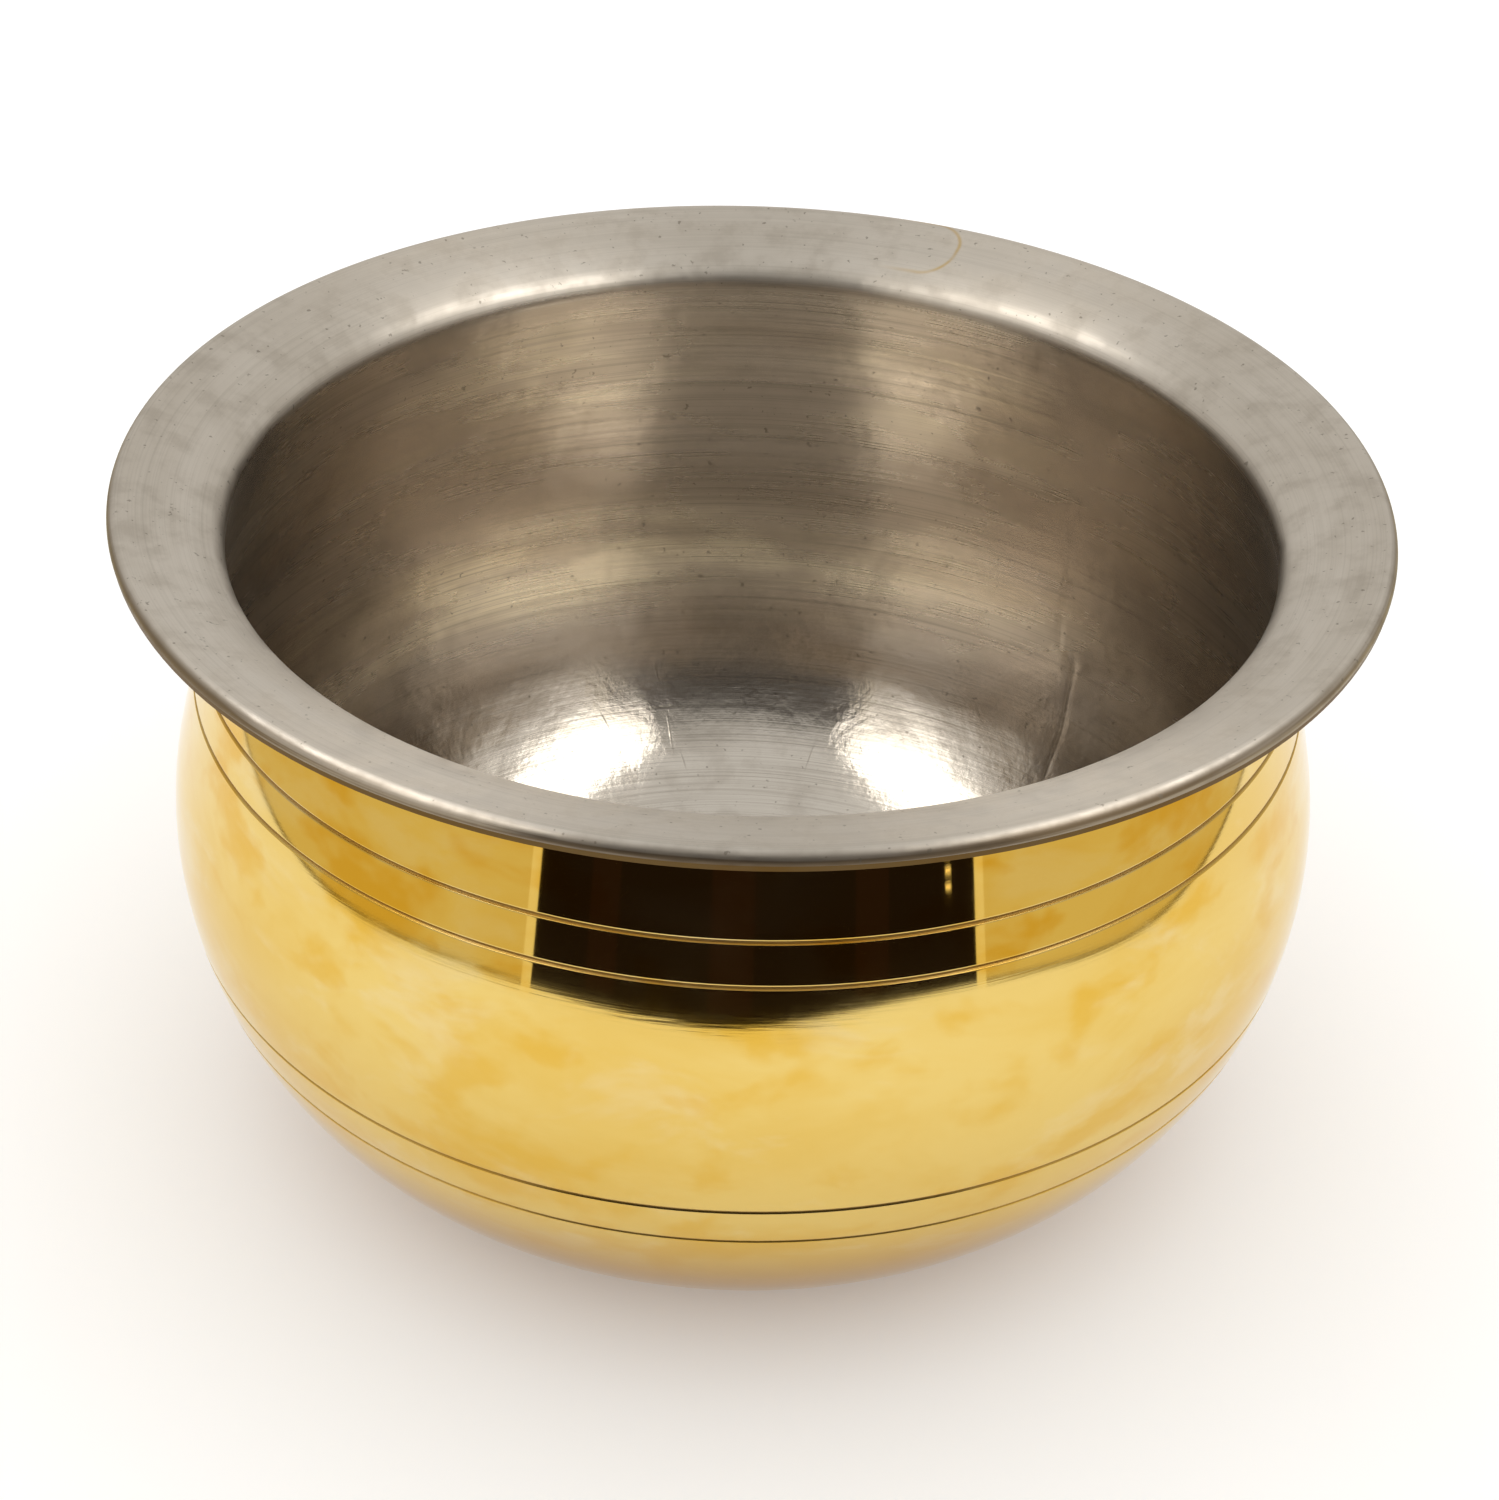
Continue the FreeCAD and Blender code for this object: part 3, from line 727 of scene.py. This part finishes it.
CLEAN_TIN = (0.66, 0.60, 0.52)
CLOUDED_TIN = (0.59, 0.53, 0.45)
INSIDE_TIN = (0.55, 0.48, 0.41)
MOTTLED_TIN = (0.47, 0.415, 0.345)
# partly worn tin, partly painted highlight on the inside wall
WORN_TIN_AND_HIGHLIGHT = (0.93, 0.85, 0.67)
STREAK_BROWN = (0.35, 0.31, 0.25)
# painted shade for the lip's roll, where it reflects the dark open front
LIP_PAINTED_SHADE = (0.17, 0.12, 0.07)
OUTLINE_BRASS = (0.55, 0.38, 0.15)
CREASE_BROWN = (0.16, 0.13, 0.09)
SPECK_BROWN = (0.20, 0.17, 0.13)

# The range of the curve node that holds the seam's line, and millimetres round the wall to a degree.
SEAM_CURVE_TOP = 110.0
SEAM_CURVE_AZIMUTH = 36.0
SEAM_CURVE_SPAN = 10.0
SEAM_MM_PER_DEGREE = 1.54


def painted_foot_shade(g):
    """Painted shade on the brass, growing towards the base, where the foot reflects the shadowed floor under
    the pot.
    """
    return g.step(g.z, 14.0, 38.0, 1.0, 0.0)


def polished_brass():
    g = Graph("polished_brass")
    clouds = g.round_noise(34.0, 17.0, 4.0, 0.6, 3.0, 0.5)
    blotch = g.round_noise(16.0, 10.0, 3.0, 0.5, 11.0, 0.2)
    haze = g.round_noise(24.0, 12.0, 4.0, 0.6, 27.0, 0.4)
    lines = g.round_noise(60.0, 0.35, 3.0, 0.6)
    turned = g.times(g.round_noise(14.0, 0.9, 2.0, 0.5, 5.0), g.near(g.z, 74.0, 7.0))
    tarnish = g.times(g.step(blotch, 0.50, 0.68), g.step(g.z, 60.0, 85.0, 0.5, 0.9))
    groove = 0.0
    for along in GROOVES:
        groove = g.add(groove, g.near(g.along, along / MM, 0.6))
    edge = g.step(g.along, LIP_TOP / MM - 1.0, LIP_TOP / MM + 0.2)

    color = g.mix(g.step(clouds, 0.35, 0.7), YELLOW_BRASS, DEEP_BRASS)
    color = g.mix(g.times(g.step(haze, 0.5, 0.68), 0.45), color, HAZY_BRASS)
    color = g.mix(tarnish, color, TARNISHED_BRASS)
    # painted shade: the brass darkens towards the base
    color = g.mix(painted_foot_shade(g), color, PAINTED_FOOT_SHADE)
    color = g.mix(g.times(groove, 0.8), color, GROOVE_BROWN)
    color = g.mix(g.times(edge, 0.93), color, EDGE_BROWN)

    roughness = g.add(0.035, g.times(g.step(haze, 0.45, 0.75), 0.03))
    roughness = g.add(roughness, g.times(groove, 0.38))
    roughness = g.add(roughness, g.times(edge, 0.35))
    normal = g.bump(lines, 6e-7)
    normal = g.bump(turned, 3e-6, normal)
    return g.finish(color, roughness, normal)


def brazing():
    g = Graph("brazing_brass")
    grain = g.noise(g.place, 1.4, 4.0, 0.65)
    color = g.mix(g.step(grain, 0.35, 0.7), BRAZE, DARK_BRAZE)
    # painted shade: the brazing darkens towards the base
    color = g.mix(painted_foot_shade(g), color, PAINTED_FOOT_SHADE)
    roughness = g.step(grain, 0.3, 0.7, 0.06, 0.14)
    return g.finish(color, roughness, g.bump(grain, 3e-6))


def wear_and_painted_highlight(g, clouds, fine, inside):
    """Where the tin is painted bright, partly for wear and partly as painted highlight for reflections of
    the floor's highlights and the lamps: a band low on the wall and two patches high on it.
    """
    low_band = g.near(g.add(g.z, g.times(clouds, 8.0)), 50.0, 15.0)
    low_band = g.times(low_band, g.near(g.azimuth, -18.0, 70.0))
    sides = g.add(g.near(g.azimuth, -26.0, 28.0), g.near(g.azimuth, 24.0, 22.0))
    high_band = g.times(g.near(g.z, 88.0, 24.0), sides)
    wear_and_highlight = g.add(g.add(g.times(low_band, 1.5), g.times(high_band, 0.8)), 0.12)
    broken = g.step(g.round_noise(26.0, 9.0, 3.0, 0.5, 19.0, 0.2), 0.4, 0.62, 0.35, 1.0)
    return g.times(g.times(g.times(wear_and_highlight, broken), inside), g.step(fine, 0.3, 0.6, 0.45, 1.0))


def patch_outline(g, clouds):
    """One on the part of the rim patch's outline that shows through the tin."""
    corner = PATCH_CORNER / MM

    def past_corner(value, half_size):
        past = g.math("SUBTRACT", g.math("ABSOLUTE", value), half_size / MM - corner)
        return g.math("MAXIMUM", past, 0.0)

    round_rim = g.times(g.math("SUBTRACT", g.azimuth, PATCH_AZIMUTH), math.radians(PATCH_RADIUS / MM))
    x = past_corner(round_rim, PATCH_HALF_LENGTH)
    y = past_corner(g.math("SUBTRACT", g.radius, PATCH_RADIUS / MM), PATCH_HALF_WIDTH)
    reach = g.math("SQRT", g.add(g.times(x, x), g.times(y, y)))
    outline = g.times(g.near(reach, corner + 0.25, 0.55), g.step(round_rim, -4.0, 6.0))
    return g.times(g.times(outline, g.step(g.z, 108.0, 109.5)), g.step(clouds, 0.3, 0.6, 0.35, 1.0))


def seam_offset(g):
    """Millimetres round the wall from the line where its seam shows through the tin."""
    line = g.node("ShaderNodeFloatCurve")
    g.put(line.inputs["Value"], g.math("DIVIDE", g.z, SEAM_CURVE_TOP))
    curve = line.mapping.curves[0]
    for height, azimuth in zip(SEAM_MARK_HEIGHTS, SEAM_MARK_AZIMUTHS):
        curve.points.new(height / MM / SEAM_CURVE_TOP, (azimuth - SEAM_CURVE_AZIMUTH) / SEAM_CURVE_SPAN)
    for point in curve.points:
        point.handle_type = "VECTOR"
    line.mapping.update()
    line_azimuth = g.add(g.times(line.outputs[0], SEAM_CURVE_SPAN), SEAM_CURVE_AZIMUTH)
    return g.times(g.math("SUBTRACT", g.azimuth, line_azimuth), SEAM_MM_PER_DEGREE)


def segment(g, start, end, half_width):
    """One on a straight mark inside the pot, between two points given as height and azimuth."""
    (low, first), (high, last) = sorted([start, end])
    share = g.math("DIVIDE", g.math("SUBTRACT", g.z, low), high - low, clamp=True)
    line = g.add(g.times(share, last - first), first)
    across = g.times(g.math("SUBTRACT", g.azimuth, line), g.times(g.radius, math.pi / 180.0))
    return g.times(g.near(across, 0.0, half_width), g.near(g.z, (low + high) / 2, (high - low) / 2 + 0.3))


def creases(g, coarse):
    """The creases in the tin over the wall seam and over the edges of the base's fingers."""
    shown = g.times(g.step(g.z, 17.0, 20.0), g.step(g.z, 102.0, 94.0))
    shown = g.times(g.step(g.z, 50.0, 30.0, 0.12, 0.7), shown)
    shown = g.times(shown, g.step(coarse, 0.35, 0.55, 0.4, 1.0))
    crease = g.times(g.near(seam_offset(g), 0.0, 0.4), shown)
    for start, end in TOOL_MARKS:
        crease = g.add(crease, g.times(segment(g, start, end, 0.28), 0.6))
    return crease


def wiped_tin():
    g = Graph("wiped_tin")
    clouds = g.round_noise(45.0, 14.0, 4.0, 0.6, 2.0, 0.5)
    fine = g.round_noise(60.0, 0.26, 1.5, 0.6, 7.0)
    coarse = g.round_noise(60.0, 0.9, 2.0, 0.5, 13.0)
    mottle = g.noise(g.place, 0.16, 5.0, 0.6)
    dents = g.noise(g.place, 0.075, 3.0, 0.5)
    pebbles = g.noise(g.place, 1.1, 2.0, 0.5)
    specks = g.step(g.noise(g.place, 0.9, 2.0, 0.5), 0.68, 0.74, 0.0, 0.6)
    rim = g.step(g.z, 105.0, 109.0)
    inside = g.times(g.step(g.z, 18.0, 34.0), g.step(g.z, 107.0, 101.0))
    streaks = g.add(g.step(coarse, 0.5, 0.72, 0.0, 0.3), g.step(fine, 0.45, 0.75, 0.0, 0.5))
    # painted shade: the lip's roll darkened where it turns down and reflects the dark open front
    lip = g.step(g.along, LIP_TOP / MM + 0.2, LIP_TOP / MM + 1.8)
    lip = g.times(lip, g.step(coarse, 0.35, 0.6, 0.55, 0.95))
    crease = creases(g, coarse)

    color = g.mix(g.step(clouds, 0.3, 0.75), CLEAN_TIN, CLOUDED_TIN)
    color = g.mix(g.times(inside, 0.85), color, INSIDE_TIN)
    color = g.mix(g.times(g.step(mottle, 0.45, 0.7), 0.45), color, MOTTLED_TIN)
    # painted highlight, partly wear: bright patches on the inside wall
    color = g.mix(wear_and_painted_highlight(g, clouds, fine, inside), color, WORN_TIN_AND_HIGHLIGHT)
    color = g.mix(g.times(streaks, g.step(rim, 0.0, 1.0, 1.0, 0.35)), color, STREAK_BROWN)
    # painted shade on the lip's roll
    color = g.mix(lip, color, LIP_PAINTED_SHADE)
    color = g.mix(g.times(patch_outline(g, clouds), 0.85), color, OUTLINE_BRASS)
    color = g.mix(g.times(crease, 0.65), color, CREASE_BROWN)
    color = g.mix(specks, color, SPECK_BROWN)

    roughness = g.add(g.step(clouds, 0.3, 0.7, 0.20, 0.27), g.times(fine, 0.06))
    roughness = g.times(roughness, g.step(g.z, 20.0, 40.0, 0.58, 1.0))
    roughness = g.add(roughness, g.times(rim, g.step(mottle, 0.35, 0.7, 0.10, 0.22)))
    normal = g.bump(dents, 2.5e-4)
    normal = g.bump(g.times(pebbles, g.step(g.z, 45.0, 25.0, 0.25, 1.0)), 2.2e-5, normal)
    normal = g.bump(coarse, 1.2e-5, normal)
    normal = g.bump(g.times(fine, g.step(rim, 0.0, 1.0, 1.0, 0.4)), 9e-6, normal)
    normal = g.bump(crease, -1.5e-5, normal)
    return g.finish(color, roughness, normal, anisotropy=0.8)


# ---------------------------------------------------------------- the pot

brass = brass_pieces()
finish = polished_brass()
filler = brazing()
for node, piece in brass.items():
    braze = node.endswith("braze")
    piece.data.materials.append(filler if braze else finish)
    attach(piece, "root")
    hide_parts(node)

tin = tin_piece()
tin.data.materials.append(wiped_tin())
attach(tin, "root")
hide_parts("tin_lining")

# ---------------------------------------------------------------- stage

# The tent's wall stands on a squared oval. Angles round it are from its front, which faces -Y,
# towards +X, in degrees.
TENT_HALF_WIDTH = 0.285
TENT_CENTRE = -0.08
TENT_FRONT_REACH = 0.316
TENT_BACK_REACH = 0.36
TENT_SQUARENESS = 2.3
TENT_TOP = 0.475
WARM_WALL_TOP = 0.08
FOLD_HEIGHT = 0.001
OPENING_START = -42.0
OPENING_END = 49.5
POST_WIDTH = 2.0
FAR_ROOM_STRIPS = [(-31.0, 6.0), (-6.0, 9.0), (24.0, 7.0)]
FAR_ROOM_HEIGHTS = (0.004, 0.2)
FAR_LAMP_START = 43.2
FAR_LAMP_END = 44.4
FAR_LAMP_HEIGHTS = [0.0262, 0.0302]
FAR_LAMP_SIZE = 0.0008
LAMP_FOOT = 0.345
LAMP_OUTER = 0.275
LAMP_INNER = 0.18
LAMP_REACH = (-0.34, 0.10)
CEILING_REACH = (-0.40, 0.30)


def glow(name, color):
    material = bpy.data.materials.new(name)
    material.use_nodes = True
    nodes = material.node_tree.nodes
    nodes.clear()
    shader = nodes.new("ShaderNodeEmission")
    shader.inputs["Color"].default_value = (*color, 1.0)
    output = nodes.new("ShaderNodeOutputMaterial")
    material.node_tree.links.new(shader.outputs[0], output.inputs["Surface"])
    return material


def card(name, corners, faces, material):
    """Part of the tent, which only shows in reflections."""
    mesh = bpy.data.meshes.new(name)
    mesh.from_pydata(corners, [], faces)
    mesh.materials.append(material)
    made = bpy.data.objects.new(name, mesh)
    bpy.context.scene.collection.objects.link(made)
    made.visible_camera = False
    made.visible_diffuse = False
    made.visible_shadow = False
    made.visible_transmission = False


def tent_outline(angle, inset=0.0):
    """The x and y of a point on the tent's outline, or on one drawn in from it by inset."""
    turn = math.radians(angle)
    across, ahead = math.sin(turn), math.cos(turn)
    reach = TENT_FRONT_REACH if ahead > 0 else TENT_BACK_REACH
    size = abs(across / TENT_HALF_WIDTH) ** TENT_SQUARENESS + abs(ahead / reach) ** TENT_SQUARENESS
    length = size ** (-1.0 / TENT_SQUARENESS) - inset
    return length * across, TENT_CENTRE - length * ahead


def curtain(name, start, end, low, high, material, inset=0.0):
    """A standing strip that follows the tent's outline between two angles."""
    count = max(2, math.ceil((end - start) / 3.0) + 1)
    feet = [tent_outline(angle, inset) for angle in np.linspace(start, end, count)]
    corners = [(x, y, low) for x, y in feet] + [(x, y, high) for x, y in feet]
    faces = [(k, k + 1, count + k + 1, count + k) for k in range(count - 1)]
    card(name, corners, faces, material)


def panel(name, low, high, y, material):
    """A flat card between two lines along Y, each given as x and height."""
    near, far = y
    corners = [(low[0], near, low[1]), (high[0], near, high[1])]
    corners += [(high[0], far, high[1]), (low[0], far, low[1])]
    card(name, corners, [(0, 1, 2, 3)], material)


def floor():
    mesh = bpy.data.meshes.new("floor")
    corners = [(-4.0, -4.0, 0.0), (4.0, -4.0, 0.0), (4.0, 4.0, 0.0), (-4.0, 4.0, 0.0)]
    mesh.from_pydata(corners, [], [(0, 1, 2, 3)])
    material = bpy.data.materials.new("pale_floor")
    material.use_nodes = True
    shader = material.node_tree.nodes["Principled BSDF"]
    shader.inputs["Base Color"].default_value = (0.93, 0.93, 0.925, 1.0)
    shader.inputs["Roughness"].default_value = 0.9
    shader.inputs["Specular IOR Level"].default_value = 0.0
    shader.inputs["Emission Color"].default_value = (1.0, 1.0, 1.0, 1.0)
    shader.inputs["Emission Strength"].default_value = 0.15
    mesh.materials.append(material)
    made = bpy.data.objects.new("floor", mesh)
    bpy.context.scene.collection.objects.link(made)


floor()
warm_wall = glow("warm_wall", (0.82, 0.70, 0.37))
white_wall = glow("white_wall", (0.72, 0.71, 0.69))
dark_front = glow("open_front", (0.014, 0.009, 0.007))
brown_front = glow("far_room", (0.021, 0.011, 0.008))
post = glow("tent_post", (1.0, 0.92, 0.68))
fold = glow("tent_fold", (0.24, 0.20, 0.11))
ceiling = glow("tent_ceiling", (0.76, 0.76, 0.75))
lamp = glow("side_lamp", (3.6, 3.56, 3.48))
far_lamp = glow("far_lamp", (3.2, 2.7, 1.7))

around = OPENING_START + 360.0
curtain("warm_wall", OPENING_END, around, 0.0, WARM_WALL_TOP, warm_wall)
curtain("white_wall", OPENING_END, around, WARM_WALL_TOP, TENT_TOP, white_wall)
curtain("tent_fold", OPENING_END, around, 0.0, FOLD_HEIGHT, fold, inset=0.001)
curtain("open_front", OPENING_START, OPENING_END, 0.0, TENT_TOP, dark_front)
for start, width in FAR_ROOM_STRIPS:
    curtain("far_room", start, start + width, *FAR_ROOM_HEIGHTS, brown_front, inset=0.002)
for height in FAR_LAMP_HEIGHTS:
    curtain("far_lamp", FAR_LAMP_START, FAR_LAMP_END, height, height + FAR_LAMP_SIZE, far_lamp, inset=0.003)
for start in (OPENING_START - POST_WIDTH, OPENING_END):
    curtain("tent_post", start, start + POST_WIDTH, 0.0, TENT_TOP, post, inset=0.002)
for side in (-1, 1):
    panel("side_lamp", (LAMP_OUTER * side, LAMP_FOOT), (LAMP_INNER * side, TENT_TOP), LAMP_REACH, lamp)
panel("ceiling", (-LAMP_INNER, TENT_TOP), (LAMP_INNER, TENT_TOP), CEILING_REACH, ceiling)

world = bpy.data.worlds.new("soft_light")
world.use_nodes = True
background = world.node_tree.nodes["Background"]
background.inputs["Color"].default_value = (1.0, 1.0, 1.0, 1.0)
background.inputs["Strength"].default_value = 1.08
bpy.context.scene.world = world
bpy.context.scene.view_settings.view_transform = "Standard"

# ---------------------------------------------------------------- camera

AIM = Vector((0.78 * MM, 0.0, 0.5556 * TOTAL_HEIGHT))
CAMERA_DISTANCE = 0.6
CAMERA_RISE = math.radians(33.98)
CAMERA_ROLL = math.radians(2.09)
SENSOR_WIDTH = 36.0
LENS = 87.89

forward = Vector((0.0, math.cos(CAMERA_RISE), -math.sin(CAMERA_RISE)))
right = Vector((1.0, 0.0, 0.0))
up = right.cross(forward)
rolled_right = right * math.cos(CAMERA_ROLL) + up * math.sin(CAMERA_ROLL)
rolled_up = up * math.cos(CAMERA_ROLL) - right * math.sin(CAMERA_ROLL)
pose = Matrix((rolled_right, rolled_up, -forward)).transposed().to_4x4()
pose.translation = AIM - forward * CAMERA_DISTANCE

camera_data = bpy.data.cameras.new("camera")
camera_data.sensor_width = SENSOR_WIDTH
camera_data.lens = LENS
camera = bpy.data.objects.new("camera", camera_data)
bpy.context.scene.collection.objects.link(camera)
camera.matrix_world = pose
bpy.context.scene.camera = camera

bpy.context.view_layer.update()
